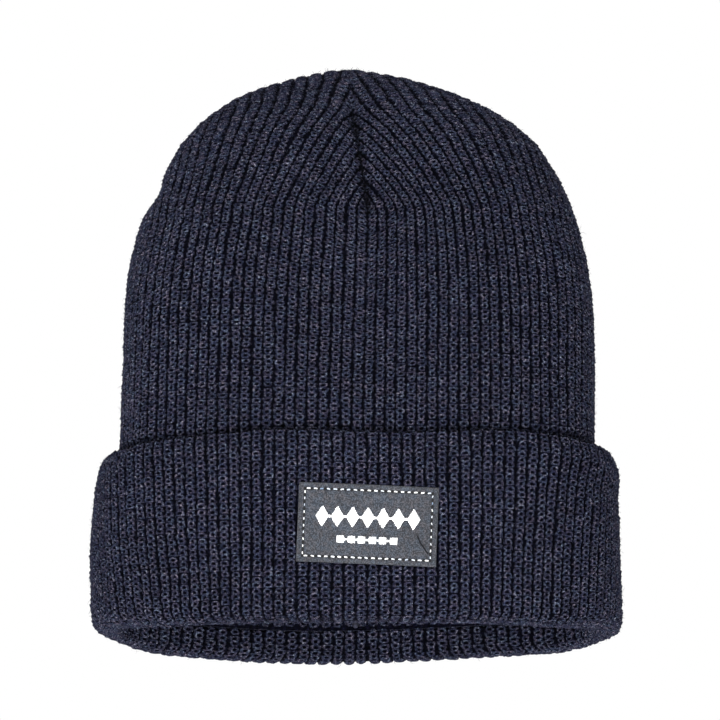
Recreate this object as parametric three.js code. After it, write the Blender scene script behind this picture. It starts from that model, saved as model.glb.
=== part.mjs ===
// A cuffed knit beanie, upright with its opening downwards, as it sits when a head holds it.
// Units are millimetres. +Z is up, +X is the wearer's left, the front with the label faces -Y, and the origin
// is the middle of the head opening, in the plane of the folded rim.
import * as THREE from "three";

// The knitted cloth.
const CLOTH = 3.5; // thickness of one layer of rib knit
const GAP = 0.3; // air between pieces that touch
const COLUMNS = 48; // facets round the hat

// The crown and the layer that runs down inside the turn-up.
const HEIGHT = 231.5;
const HALF_WIDTH = 94.4;
const HALF_DEPTH = 44;
const FLARE = 2.4; // how much wider each side is at the rim than at the widest level
const WIDTH_LEVEL = 115; // above this level the sides curve in
const DEPTH_LEVEL = 105; // above this level the front and back curve in
const WIDTH_CURVE = 2.5;
const DEPTH_CURVE = 2.3;
const OVAL = 2.6; // exponent of the oval sections: 2 is an ellipse, and more is squarer
const CROWN_LEAN = 8; // how far the top sits behind the middle of the opening
const LEAN_LEVEL = 110;
const INNER_LAYER_END = 12.3; // lower end of the inner layer, where the fold begins
const STRAIGHT_ROWS = 5;
const DOME_ROWS = 13;

// The turn-up: an outer layer that stands off the inner one, and the fold that joins them at the rim.
// Each pair is the distance outside the inner layer's face, and the level.
const TURN_UP_FACE = [
  [9.9, 13],
  [9.5, 31],
  [9.4, 49],
  [9.1, 63],
  [8.2, 69],
  [6.6, 73.4],
  [4.4, 76.6],
];
const LIP_INSIDE = 1.1; // the free edge all but touches the crown
const LIP_OUTSIDE = 2.5;
const LIP_TOP = 77.8;
const LIP_ROUND = 0.8;
const LIP_REACH = 4; // how far down the free edge stays close to the crown
const INNER_FACE_DROP = 0.6; // the turn-up's inner face curves in this much lower than its outer face
const FOLD_CORNER = 4.5; // outer radius of the fold
const FOLD_TOP = INNER_LAYER_END - GAP;
const FOLD_STEPS = 4;

// The closing of the crown: four darts that meet at a pole on the top. Each end is given in plan.
const POLE = { x: 0, y: CROWN_LEAN };
const SEAM_RADIUS = 1.4; // the rolled seam allowance inside
const SEAM_SIDES = 8;
const FACET_ROOM = 0.4; // kept between a seam and the facets of a curved wall
const SLOPE_SHARE = 1.25; // a seam under the sloping crown hangs this much more below it
const DART_START = 7; // from the pole to the end of each allowance
const FRONT_DART_END = { x: 6, y: -28.6 };
const SIDE_DART_END = { x: 78, y: 4 };
const BACK_DART_END = { x: 0, y: 36.5 };
const TACK_RADIUS = 1.4;
const TACK_THREAD = 0.42;
const TACK_REACH = 1.9; // half the knot's height, in its radii
const BACK_SEAM_FOOT = 12.8;
const BACK_SEAM_GAP = 6; // below the back dart's end
const CUFF_SEAM_SPAN = [14, 66];

// The woven label on the front of the turn-up.
const LABEL = { width: 55.1, height: 31.8, thick: 0.9, x: 4.8, z: 38.4, turn: -2.4 };
const LABEL_COLUMNS = 14;
const LABEL_ROWS = 6;
const STITCH_INSET = 2.4;
const THREAD = 0.4;
const ON_LABEL = GAP + LABEL.thick + 0.7; // stand-off of what is sewn on the label, clear of its bend
const STITCH_POINTS = 12; // points along each side of the sewn rectangle
const BOBBIN_GAP = 0.7;

// The motif on the label: a chain of diamonds above a slim chain of blocks.
const DIAMONDS = { count: 7, pitch: 6, halfHeight: 4.2, halfWidth: 2.5, link: 0.35, lift: 2.6 };
const BLOCKS = { count: 6, pitch: 4.2, halfHeight: 1.3, halfWidth: 1.4, link: 0.3, lift: -6.4 };

// The care label inside, hung from the back seam.
const CARE = { width: 28, height: 42, thick: 0.5, top: 150 };
const CARE_STITCH = { width: 24, height: 0.8, thick: 0.5, above: 1.5 };

const clamp01 = (value) => Math.min(Math.max(value, 0), 1);
const smooth = (value) => clamp01(value) ** 2 * (3 - 2 * clamp01(value));

// Half width, half depth and middle of the hat's section at a level, for a surface that lies inset mm inside
// the outer face of the crown.
function sectionAt(z, inset) {
  const top = HEIGHT - inset;
  const rise = (level) => clamp01((z - level) / (top - level));
  const flare = FLARE * clamp01((WIDTH_LEVEL - z) / WIDTH_LEVEL);
  return {
    z,
    halfWidth: (HALF_WIDTH + flare - inset) * Math.sqrt(1 - rise(WIDTH_LEVEL) ** WIDTH_CURVE),
    halfDepth: (HALF_DEPTH + flare - inset) * Math.sqrt(1 - rise(DEPTH_LEVEL) ** DEPTH_CURVE),
    middle: CROWN_LEAN * smooth(rise(LEAN_LEVEL)),
  };
}

// A LatheGeometry whose round sections are pressed into the hat's oval ones. The rows go from the first point
// of the profile to the last.
function ovalLathe(rows) {
  const profile = rows.map((row) => new THREE.Vector2(row.halfWidth, row.z));
  const geometry = new THREE.LatheGeometry(profile, COLUMNS);
  const place = geometry.getAttribute("position");
  for (let column = 0; column <= COLUMNS; column++) {
    const angle = ((column % COLUMNS) / COLUMNS) * 2 * Math.PI;
    const across = Math.sin(angle);
    const along = Math.cos(angle);
    const round = (Math.abs(across) ** OVAL + Math.abs(along) ** OVAL) ** (-1 / OVAL);
    rows.forEach((row, index) => {
      const x = row.halfWidth * round * across;
      const y = row.middle - row.halfDepth * round * along;
      place.setXYZ(column * rows.length + index, x, y, row.z);
    });
  }
  return geometry;
}

// Levels from the foot of the inner layer to the top, closer together where the crown curves over.
function levels(top) {
  const straight = WIDTH_LEVEL - INNER_LAYER_END;
  const list = [];
  for (let i = 0; i < STRAIGHT_ROWS; i++) list.push(INNER_LAYER_END + (straight * i) / STRAIGHT_ROWS);
  for (let i = 0; i <= DOME_ROWS; i++) {
    list.push(WIDTH_LEVEL + (top - WIDTH_LEVEL) * Math.sin((i / DOME_ROWS) * (Math.PI / 2)));
  }
  return list;
}

function knitBody() {
  const outside = levels(HEIGHT).map((z) => sectionAt(z, 0));
  const inside = levels(HEIGHT - CLOTH).map((z) => sectionAt(z, CLOTH));
  return ovalLathe([...inside.reverse(), ...outside]);
}

// A row of the turn-up, out mm outside the inner layer's face at a level.
function turnUpRow(out, z) {
  const inner = sectionAt(z, 0);
  return { ...inner, halfWidth: inner.halfWidth + out, halfDepth: inner.halfDepth + out };
}

// The quarter turns of the fold's outer face, round a middle at (out, z), between two angles in degrees.
function foldArc(out, z, radius, from, to) {
  return Array.from({ length: FOLD_STEPS + 1 }, (_, step) => {
    const angle = THREE.MathUtils.degToRad(from + ((to - from) * step) / FOLD_STEPS);
    return [out + radius * Math.cos(angle), z - radius * Math.sin(angle)];
  });
}

function cuffTurnUp() {
  const face = TURN_UP_FACE[0][0];
  const hollow = FOLD_CORNER - CLOTH;
  const outline = [
    [-CLOTH, FOLD_TOP],
    ...foldArc(FOLD_CORNER - CLOTH, FOLD_CORNER, FOLD_CORNER, 180, 90),
    ...foldArc(face - FOLD_CORNER, FOLD_CORNER, FOLD_CORNER, 90, 0),
    ...TURN_UP_FACE,
    [LIP_OUTSIDE, LIP_TOP],
    [LIP_INSIDE, LIP_TOP - LIP_ROUND],
    [LIP_INSIDE, LIP_TOP - LIP_REACH],
    ...TURN_UP_FACE.slice(0, -2).reverse().map(([out, z]) => [out - CLOTH, z - INNER_FACE_DROP]),
    ...foldArc(face - FOLD_CORNER, FOLD_CORNER, hollow, 0, 90),
    ...foldArc(FOLD_CORNER - CLOTH, FOLD_CORNER, hollow, 90, 180),
    [0, FOLD_TOP],
    [-CLOTH, FOLD_TOP],
  ];
  return ovalLathe(outline.map(([out, z]) => turnUpRow(out, z)));
}

// How far outside the inner layer the turn-up's face is at a level.
function turnUpFaceAt(z) {
  const next = Math.max(TURN_UP_FACE.findIndex((point) => point[1] >= z), 1);
  const [outLow, low] = TURN_UP_FACE[next - 1];
  const [outHigh, high] = TURN_UP_FACE[next];
  return outLow + ((outHigh - outLow) * (z - low)) / (high - low);
}

// Distance of an oval section's edge from its middle line, at a distance x to the side.
function edgeDepth(section, x) {
  return section.halfDepth * Math.max(1 - Math.abs(x / section.halfWidth) ** OVAL, 0) ** (1 / OVAL);
}

// The front of the turn-up's outer face.
function turnUpFront(x, z) {
  const section = turnUpRow(turnUpFaceAt(z), z);
  return section.middle - edgeDepth(section, x);
}

// Level of the crown above a place in plan, on a surface inset mm inside the outer face.
function crownLevel(x, y, inset) {
  let low = DEPTH_LEVEL;
  let high = HEIGHT - inset;
  while (high - low > 0.001) {
    const z = (low + high) / 2;
    const section = sectionAt(z, inset);
    const inside = Math.abs(x) < section.halfWidth && Math.abs(y - section.middle) < edgeDepth(section, x);
    if (inside) low = z;
    else high = z;
  }
  return new THREE.Vector3(x, y, (low + high) / 2);
}

function roundSection(radius) {
  const points = Array.from({ length: SEAM_SIDES }, (_, i) => {
    const angle = (i / SEAM_SIDES) * 2 * Math.PI;
    return new THREE.Vector2(radius * Math.cos(angle), radius * Math.sin(angle));
  });
  return new THREE.Shape(points);
}

// A roll of cloth with its middle line through count places, where place gives one for a share of the way.
function roll(count, steps, place) {
  const points = Array.from({ length: count }, (_, i) => place(i / (count - 1)));
  const extrudePath = new THREE.CatmullRomCurve3(points);
  return new THREE.ExtrudeGeometry(roundSection(SEAM_RADIUS), { steps, extrudePath });
}

// A surface that runs through the middle of the seam rolls, as far inside the crown's outer face.
const ROLL_INSET = CLOTH + GAP + SEAM_RADIUS;

// The rolled seam allowance under one dart, from near the pole to the dart's lower end.
function dartSeam(end) {
  const start = DART_START / Math.hypot(end.x - POLE.x, end.y - POLE.y);
  return roll(9, 16, (along) => {
    const share = THREE.MathUtils.lerp(start, 1, along);
    const x = THREE.MathUtils.lerp(POLE.x, end.x, share);
    const y = THREE.MathUtils.lerp(POLE.y, end.y, share);
    return crownLevel(x, y, ROLL_INSET * SLOPE_SHARE);
  });
}

// The middle of the back of a section, just clear of a wall outside it.
function backOf(section) {
  return new THREE.Vector3(0, section.middle + section.halfDepth - FACET_ROOM, section.z);
}

// The seam that closes the tube of cloth, rolled inside, down the middle of the back.
function backSeam() {
  const dart = crownLevel(BACK_DART_END.x, BACK_DART_END.y, ROLL_INSET * SLOPE_SHARE);
  const top = dart.z - BACK_SEAM_GAP;
  return roll(12, 20, (along) => {
    return backOf(sectionAt(THREE.MathUtils.lerp(BACK_SEAM_FOOT, top, along), ROLL_INSET));
  });
}

// The same seam in the turn-up, rolled between its two layers.
function cuffSeam() {
  return roll(6, 8, (along) => {
    const z = THREE.MathUtils.lerp(...CUFF_SEAM_SPAN, along);
    return backOf(turnUpRow(turnUpFaceAt(z) - ROLL_INSET, z));
  });
}

// The knot that gathers the four dart ends, hung just under the pole.
function crownTack() {
  const knot = new THREE.TorusKnotGeometry(TACK_RADIUS, TACK_THREAD, 48, 6, 2, 3);
  const place = crownLevel(POLE.x, POLE.y, CLOTH + 2 * GAP + TACK_REACH * TACK_RADIUS);
  knot.translate(place.x, place.y, place.z);
  return knot;
}

// Lays a flat shape on the front of the turn-up: its x runs across, its y up and its z outwards.
function layOnTurnUp(geometry, standOff) {
  const turn = THREE.MathUtils.degToRad(LABEL.turn);
  const place = geometry.getAttribute("position");
  for (let i = 0; i < place.count; i++) {
    const u = place.getX(i);
    const v = place.getY(i);
    const x = LABEL.x + u * Math.cos(turn) - v * Math.sin(turn);
    const z = LABEL.z + u * Math.sin(turn) + v * Math.cos(turn);
    place.setXYZ(i, x, turnUpFront(x, z) - standOff - place.getZ(i), z);
  }
  return geometry;
}

function labelPatch() {
  const { width, height, thick } = LABEL;
  const flat = new THREE.BoxGeometry(width, height, thick, LABEL_COLUMNS, LABEL_ROWS, 1);
  return layOnTurnUp(flat.translate(0, 0, thick / 2), GAP);
}

// The points of a rectangle's outline, with extra points along each side so that it can bend.
function rectangle(halfWidth, halfHeight) {
  const corners = [
    [-halfWidth, -halfHeight],
    [halfWidth, -halfHeight],
    [halfWidth, halfHeight],
    [-halfWidth, halfHeight],
  ];
  return corners.flatMap(([x, y], side) => {
    const [nextX, nextY] = corners[(side + 1) % 4];
    return Array.from({ length: STITCH_POINTS }, (_, i) => {
      const share = i / STITCH_POINTS;
      return new THREE.Vector2(THREE.MathUtils.lerp(x, nextX, share), THREE.MathUtils.lerp(y, nextY, share));
    });
  });
}

// One line of thread sewn round the label, inset from its edge.
function sewnRectangle(standOff) {
  const halfWidth = LABEL.width / 2 - STITCH_INSET;
  const halfHeight = LABEL.height / 2 - STITCH_INSET;
  const shape = new THREE.Shape(rectangle(halfWidth + THREAD, halfHeight + THREAD));
  shape.holes.push(new THREE.Path(rectangle(halfWidth - THREAD, halfHeight - THREAD)));
  const flat = new THREE.ExtrudeGeometry(shape, { depth: THREAD, bevelEnabled: false });
  return layOnTurnUp(flat, standOff);
}

// A row of equal shapes joined by a slim link, as one outline. Each shape has its own half height at each of
// the places along it.
function chain({ count, pitch, halfHeight, halfWidth, link, lift }, places) {
  const upper = [];
  for (let i = 0; i < count; i++) {
    const middle = (i - (count - 1) / 2) * pitch;
    for (const [across, share] of places) {
      upper.push(new THREE.Vector2(middle + across * halfWidth, Math.max(share * halfHeight, link)));
    }
  }
  const lower = upper.map((point) => new THREE.Vector2(point.x, -point.y)).reverse();
  const shape = new THREE.Shape([...lower, ...upper]);
  const flat = new THREE.ExtrudeGeometry(shape, { depth: THREAD, bevelEnabled: false });
  return layOnTurnUp(flat.translate(0, lift, 0), ON_LABEL);
}

// The care label hangs clear of the back seam's roll over its whole height.
function careLabel() {
  const inset = CLOTH + 3 * GAP + 2 * SEAM_RADIUS + CARE.thick;
  const reach = [CARE.top, CARE.top - CARE.height].map((z) => sectionAt(z, inset));
  const back = Math.min(...reach.map((section) => section.middle + section.halfDepth));
  const cloth = new THREE.BoxGeometry(CARE.width, CARE.thick, CARE.height, 4, 1, 6);
  cloth.translate(0, back, CARE.top - CARE.height / 2);
  const stitch = new THREE.BoxGeometry(CARE_STITCH.width, CARE_STITCH.thick, CARE_STITCH.height, 6, 1, 1);
  stitch.translate(0, back - CARE.thick / 2 - GAP - CARE_STITCH.thick / 2, CARE.top + CARE_STITCH.above);
  return { cloth, stitch };
}

const navy = new THREE.MeshStandardMaterial({ color: 0x242634, roughness: 0.95, metalness: 0 });
const navyThread = new THREE.MeshStandardMaterial({ color: 0x1c1e2a, roughness: 0.8, metalness: 0 });
const greyWeave = new THREE.MeshStandardMaterial({ color: 0x5a5f68, roughness: 0.9, metalness: 0 });
const whiteThread = new THREE.MeshStandardMaterial({ color: 0xe6e8ea, roughness: 0.7, metalness: 0 });
const satin = new THREE.MeshStandardMaterial({ color: 0xe2e1dc, roughness: 0.45, metalness: 0 });

const beanie = new THREE.Group();

function add(name, geometry, material) {
  const mesh = new THREE.Mesh(geometry, material);
  mesh.name = name;
  beanie.add(mesh);
}

add("knit_body", knitBody(), navy);
add("cuff_turn_up", cuffTurnUp(), navy);
add("back_seam", backSeam(), navyThread);
add("cuff_seam", cuffSeam(), navyThread);
add("dart_seam_front", dartSeam(FRONT_DART_END), navyThread);
add("dart_seam_left", dartSeam(SIDE_DART_END), navyThread);
add("dart_seam_right", dartSeam({ x: -SIDE_DART_END.x, y: SIDE_DART_END.y }), navyThread);
add("dart_seam_back", dartSeam(BACK_DART_END), navyThread);
add("crown_tack", crownTack(), navyThread);
add("label_patch", labelPatch(), greyWeave);
add("label_top_thread", sewnRectangle(ON_LABEL), whiteThread);
add("label_bobbin_thread", sewnRectangle(-CLOTH - BOBBIN_GAP - THREAD), whiteThread);
add("label_motif_upper", chain(DIAMONDS, [[-1, 0], [0, 1], [1, 0]]), whiteThread);
add("label_motif_lower", chain(BLOCKS, [[-1, 0], [-1, 1], [1, 1], [1, 0]]), whiteThread);
const care = careLabel();
add("care_label", care.cloth, satin);
add("care_label_thread", care.stitch, navyThread);

export default beanie;
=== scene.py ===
# The looks of a cuffed knit beanie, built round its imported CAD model.
# Lengths in this script are millimetres, in the CAD model's frame, until a mesh or a light is made from them.
import math

import bpy
import numpy as np
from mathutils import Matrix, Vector


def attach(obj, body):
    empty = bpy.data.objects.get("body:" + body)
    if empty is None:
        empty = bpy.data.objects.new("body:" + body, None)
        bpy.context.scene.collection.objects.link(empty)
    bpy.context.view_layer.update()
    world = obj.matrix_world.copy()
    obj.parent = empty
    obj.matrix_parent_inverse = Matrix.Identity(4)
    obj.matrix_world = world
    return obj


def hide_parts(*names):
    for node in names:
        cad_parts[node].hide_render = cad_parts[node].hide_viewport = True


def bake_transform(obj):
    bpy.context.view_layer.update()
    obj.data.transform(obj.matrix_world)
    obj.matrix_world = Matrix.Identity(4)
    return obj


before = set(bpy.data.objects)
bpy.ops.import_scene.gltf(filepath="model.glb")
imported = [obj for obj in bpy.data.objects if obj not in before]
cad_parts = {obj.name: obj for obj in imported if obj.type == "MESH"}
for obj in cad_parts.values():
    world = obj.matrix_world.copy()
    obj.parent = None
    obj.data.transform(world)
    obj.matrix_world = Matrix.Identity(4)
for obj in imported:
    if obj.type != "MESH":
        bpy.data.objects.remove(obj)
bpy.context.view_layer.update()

MM = 0.001

# The shape law of the CAD model.
CLOTH = 3.5
GAP = 0.3
HEIGHT = 231.5
HALF_WIDTH = 94.4
HALF_DEPTH = 44.0
FLARE = 2.4
WIDTH_LEVEL = 115.0
DEPTH_LEVEL = 105.0
WIDTH_CURVE = 2.5
DEPTH_CURVE = 2.3
OVAL = 2.6
CROWN_LEAN = 8.0
LEAN_LEVEL = 110.0
INNER_LAYER_END = 12.3
TURN_UP_FACE = [(9.9, 13), (9.5, 31), (9.4, 49), (9.1, 63), (8.2, 69), (6.6, 73.4), (4.4, 76.6)]
LIP_INSIDE = 1.1
LIP_OUTSIDE = 2.5
LIP_TOP = 77.8
LIP_REACH = 4.0
INNER_FACE_DROP = 0.6
FOLD_CORNER = 4.5
FOLD_TOP = INNER_LAYER_END - GAP
SEAM_RADIUS = 1.4
ROLL_INSET = CLOTH + GAP + SEAM_RADIUS
POLE = (0.0, CROWN_LEAN)
DART_START = 7.0
DART_ENDS = {"front": (6.0, -28.6), "left": (78.0, 4.0), "right": (-78.0, 4.0), "back": (0.0, 36.5)}
LABEL = {"width": 55.1, "height": 31.8, "thick": 0.9, "x": 4.8, "z": 38.4, "turn": -2.4}

# The knit: ribs run up the hat and courses go round it.
RIBS = 108
QUARTER_RIBS = RIBS // 4
COURSE = 2.28  # height of one course
PER_RIB = 8  # mesh columns in a rib
PER_COURSE = 6  # mesh rows in a course
VALLEY = 1.75  # depth of the groove between two ribs
HOLE = 1.15  # depth of the hole in a stitch


def clamp01(value):
    return np.clip(value, 0.0, 1.0)


def smooth(value):
    value = clamp01(value)
    return value * value * (3 - 2 * value)


# ---------------------------------------------------------------- the hat's sections

def section(z, inset=0.0):
    """Half width, half depth and middle of the crown at a level, inset mm inside its outer face."""
    z = np.asarray(z, float)
    top = HEIGHT - inset
    flare = FLARE * clamp01((WIDTH_LEVEL - z) / WIDTH_LEVEL)
    wide = clamp01((z - WIDTH_LEVEL) / (top - WIDTH_LEVEL))
    deep = clamp01((z - DEPTH_LEVEL) / (top - DEPTH_LEVEL))
    lean = clamp01((z - LEAN_LEVEL) / (top - LEAN_LEVEL))
    half_width = (HALF_WIDTH + flare - inset) * np.sqrt(1 - wide**WIDTH_CURVE)
    half_depth = (HALF_DEPTH + flare - inset) * np.sqrt(1 - deep**DEPTH_CURVE)
    return half_width, half_depth, CROWN_LEAN * smooth(lean)


class Quarter:
    """A quarter of an oval section, from the middle of its front to its side, by share of its length."""

    def __init__(self, count=240):
        angle = np.linspace(0, math.pi / 2, 1200)
        reach = (np.sin(angle) ** OVAL + np.cos(angle) ** OVAL) ** (-1 / OVAL)
        across, along = reach * np.sin(angle), reach * np.cos(angle)
        self.ratios = np.linspace(0.2, 0.7, 51)
        shares = np.linspace(0, 1, count + 1)
        rows_across, rows_along, totals = [], [], []
        for ratio in self.ratios:
            step = np.hypot(np.diff(across), ratio * np.diff(along))
            length = np.concatenate([[0], np.cumsum(step)])
            totals.append(length[-1])
            rows_across.append(np.interp(shares, length / length[-1], across))
            rows_along.append(np.interp(shares, length / length[-1], along))
        self.count = count
        self.totals = np.array(totals)
        self.across, self.along = np.array(rows_across), np.array(rows_along)

    def length(self, half_width, half_depth):
        return half_width * np.interp(half_depth / half_width, self.ratios, self.totals)

    def place(self, half_width, half_depth, share):
        """Distance from the middle plane and from the middle of the depth, of a point on the quarter."""
        row = (half_depth / half_width - self.ratios[0]) / (self.ratios[1] - self.ratios[0])
        row, col = np.broadcast_arrays(np.clip(row, 0, len(self.ratios) - 1.001), clamp01(share) * self.count)
        r, c = row.astype(int), np.minimum(col.astype(int), self.count - 1)
        fr, fc = row - r, col - c

        def mix(table):
            low = table[r, c] * (1 - fc) + table[r, c + 1] * fc
            high = table[r + 1, c] * (1 - fc) + table[r + 1, c + 1] * fc
            return low * (1 - fr) + high * fr

        return half_width * mix(self.across), half_depth * mix(self.along)


quarter = Quarter()


def edge_depth(half_width, half_depth, x):
    inside = np.maximum(1 - np.abs(x / half_width) ** OVAL, 0)
    return half_depth * inside ** (1 / OVAL)


# ---------------------------------------------------------------- mesh making

STITCH_LAYER = "stitch"  # each face's place in its own stitch, in mm from the stitch's middle


def cell_corners(grid):
    """The four corners of each cell of a grid, in turn round the cell."""
    return [grid[:-1, :-1], grid[1:, :-1], grid[1:, 1:], grid[:-1, 1:]]


def flat_grid(shape, left, right, foot, top):
    """Even places in the flat layout for a grid of points."""
    across, up = (np.linspace(a, b, n) for a, b, n in ((left, right, shape[0]), (foot, top, shape[1])))
    return np.stack(np.meshgrid(across, up, indexing="ij"), -1)


def sound_faces(faces, flats):
    """Quads and triangles with their flats, from four-sided faces that may have corners in one place."""
    same = faces == np.roll(faces, -1, axis=1)
    repeats = same.sum(1)
    good = (repeats == 0) & (faces[:, 0] != faces[:, 2]) & (faces[:, 1] != faces[:, 3])
    tris, tri_flats = [], []
    for corner in range(4):
        pick = (repeats == 1) & same[:, corner]
        keep = [c for c in range(4) if c != corner]
        tris.append(faces[pick][:, keep])
        tri_flats.append(flats[pick][:, keep])
    return faces[good], flats[good], np.concatenate(tris), np.concatenate(tri_flats)


def chained(parts):
    """The first members of several tuples of arrays end to end, then the second ones, and so on."""
    return [np.concatenate(members) for members in zip(*parts)]


class Patchwork:
    """Gathers grids of points into one mesh, with attributes on the points and a flat layout for baking."""

    def __init__(self):
        self.points, self.values, self.patches, self.count = [], [], [], 0

    def add_points(self, points, **values):
        """Adds a grid of points with their attributes, and returns the grid of their numbers."""
        ids = self.count + np.arange(points[..., 0].size).reshape(points.shape[:-1])
        self.points.append(points.reshape(-1, 3))
        self.values.append({k: np.broadcast_to(np.ravel(v), (ids.size,)) for k, v in values.items()})
        self.count += ids.size
        return ids

    def add_grid(self, ids, flat, flip=False, stitch=None):
        """Faces for a grid of point numbers; flat is the grid's places in the flat layout."""
        faces = np.stack([c.ravel() for c in cell_corners(ids)], 1)
        flats = np.stack([p.reshape(-1, 2) for p in cell_corners(flat)], 1)
        if stitch is not None:
            flats = np.concatenate([flats, stitch], -1)
        self.patches.append((faces[:, ::-1], flats[:, ::-1]) if flip else (faces, flats))

    def merged(self, tolerance=0.004):
        """Makes points in one place one. Gives the points, their attributes, and what sound_faces gives."""
        points = np.concatenate(self.points)
        key = np.round(points / tolerance).astype(np.int64)
        _, first, back = np.unique(key, axis=0, return_index=True, return_inverse=True)
        self.back = back.ravel()
        values = {k: np.concatenate([v[k] for v in self.values])[first] for k in self.values[0]}
        faces = chained([sound_faces(self.back[faces], flats) for faces, flats in self.patches])
        return points[first], values, faces

    def build(self, name, tolerance=0.002):
        return make_object(name, *self.merged(tolerance))


def point_normals(points, quads, tris):
    """Unit normals of a mesh's points, each the sum of the faces round it."""
    total = np.zeros_like(points)
    for faces in (quads, tris):
        p = points[faces]
        one, other = ((0, 2), (1, 3)) if faces.shape[1] == 4 else ((0, 1), (0, 2))
        normal = np.cross(p[:, one[1]] - p[:, one[0]], p[:, other[1]] - p[:, other[0]])
        for corner in range(faces.shape[1]):
            for axis in range(3):
                total[:, axis] += np.bincount(faces[:, corner], normal[:, axis], minlength=len(points))
    size = np.linalg.norm(total, axis=1, keepdims=True)
    return total / np.maximum(size, 1e-12)


def make_object(name, points, values, faces):
    """A Blender mesh object from points in millimetres."""
    quads, quad_flats, tris, tri_flats = faces
    mesh = bpy.data.meshes.new(name)
    mesh.vertices.add(len(points))
    mesh.vertices.foreach_set("co", (points * MM).astype(np.float32).ravel())
    mesh.loops.add(quads.size + tris.size)
    loops = np.concatenate([quads.ravel(), tris.ravel()]).astype(np.int32)
    mesh.loops.foreach_set("vertex_index", loops)
    starts = np.concatenate([np.arange(len(quads)) * 4, quads.size + np.arange(len(tris)) * 3])
    mesh.polygons.add(len(starts))
    mesh.polygons.foreach_set("loop_start", starts.astype(np.int32))
    mesh.polygons.foreach_set("use_smooth", np.ones(len(starts), bool))
    flat = np.concatenate([f.reshape(-1, quad_flats.shape[-1]) for f in (quad_flats, tri_flats)])
    for start, layer_name in zip(range(0, flat.shape[1], 2), ("OFBake", STITCH_LAYER)):
        layer = mesh.uv_layers.new(name=layer_name)
        layer.data.foreach_set("uv", flat[:, start:start + 2].astype(np.float32).ravel())
    for key, value in values.items():
        attribute = mesh.attributes.new(key, "FLOAT", "POINT")
        attribute.data.foreach_set("value", value.astype(np.float32))
    mesh.update(calc_edges=True)
    mesh.validate()
    made = bpy.data.objects.new(name, mesh)
    bpy.context.scene.collection.objects.link(made)
    return made


def travelled(path):
    """Distance along a path at each of its points."""
    return np.concatenate([[0], np.cumsum(np.linalg.norm(np.diff(path, axis=0), axis=1))])


def path_at(at, along, path):
    """Points of a path, given the distances along it that are wanted and those of its own points."""
    return np.stack([np.interp(at, along, column) for column in path.T], 1)


# ---------------------------------------------------------------- the stitch

class Knit:
    """Relief of a ribbed knit: one column of ring-shaped stitches on each rib, with a groove between ribs."""

    RING = (1.2, 0.85)  # half width and half height of the ring that the yarn makes
    SQUARE = 3.0  # exponent of the ring: 2 is an ellipse, and more is squarer
    YARN = (0.34, 0.14)  # radius of the yarn at a ring's top and foot, and how much more at its sides
    WIDTH = 4.4  # of a rib with rings of just this size

    def __init__(self, seed, rows):
        draw = np.random.default_rng(seed)
        shape = (RIBS, rows)
        self.rows = rows
        self.aside = np.clip(draw.normal(0, 0.13, shape) + self.drift(draw, shape, 9, 0.16), -0.5, 0.5)
        self.up = draw.normal(0, 0.14, shape)
        self.size = 1 + np.clip(draw.normal(0, 0.11, shape), -0.25, 0.2)
        self.lift = draw.normal(0, 0.12, shape)
        self.tone = clamp01(0.5 + draw.normal(0, 0.2, shape))

    @staticmethod
    def drift(draw, shape, span, size):
        """Slow noise along each rib."""
        knots = draw.normal(0, size, (shape[0], shape[1] // span + 3))
        at = np.arange(shape[1]) / span
        low = at.astype(int)
        part = smooth(at - low)
        return knots[:, low] * (1 - part) + knots[:, low + 1] * part

    def relief(self, u, v, rib_width):
        """Height above the rib tops, negative, and the stitch's tone, at a place in ribs and courses."""
        rib = np.floor(u)
        offset = u - rib - 0.5
        x = offset * rib_width
        low = smooth((np.abs(2 * offset) - 0.64) / 0.34)
        wave = np.floor(v)
        rung = 0.55 * np.abs(np.cos(math.pi * (v - wave))) ** 3
        height = -HOLE - (VALLEY - HOLE - rung) * low
        column = rib.astype(int) % RIBS
        tone = self.tone[column, wave.astype(int) % self.rows]
        for step in (-1, 0, 1):
            row = (wave + step).astype(int) % self.rows
            across, y = self.local(offset, v - wave - step - 0.5, column, row, rib_width)
            share = np.clip(y / self.RING[1], -1.3, 1.3)
            half, tall = self.RING[0] * (1 + 0.16 * share), self.RING[1]
            a, b = np.abs(across / half), np.abs(y / tall)
            ring = np.maximum((a**self.SQUARE + b**self.SQUARE) ** (1 / self.SQUARE), 1e-6)
            slope = np.hypot((a / ring) ** (self.SQUARE - 1) / half, (b / ring) ** (self.SQUARE - 1) / tall)
            away = np.abs(ring - 1) / np.maximum(slope, 1e-6)
            sideways = clamp01(np.abs(across / half)) ** 2
            thick = self.YARN[0] + self.YARN[1] * sideways
            over = -0.05 - 0.42 * clamp01(0.5 + 0.5 * share) ** 2 - 0.2 * sideways
            yarn = over + self.lift[column, row] + 1.5 * (np.sqrt(np.maximum(thick**2 - away**2, 0)) - thick)
            height = np.where(away < thick, np.maximum(height, yarn), height)
        return height, tone

    def local(self, offset, course, column, row, rib_width):
        """A place in mm from the middle of a stitch's ring, as if the rib were WIDTH wide."""
        wide = self.size[column, row] / self.WIDTH
        held = 1 - smooth((np.abs(2 * offset) - 0.7) / 0.3)
        across = offset - self.aside[column, row] / rib_width * held
        return across / wide, course * COURSE - self.up[column, row]

    def corners(self, u, v, rib_width):
        """Each face's four corners, as places in the stitch that the face lies in. u and v are grids."""
        cell_u, cell_v = (np.floor((g[:-1, :-1] + g[1:, 1:]) / 2) for g in (u, v))
        column, row = cell_u.astype(int) % RIBS, cell_v.astype(int) % self.rows
        places = []
        for rib, course in zip(cell_corners(u), cell_corners(v)):
            place = self.local(rib - cell_u - 0.5, course - cell_v - 0.5, column, row, rib_width)
            places.append(np.stack([p.ravel() for p in place], -1))
        return np.stack(places, 1)


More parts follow.
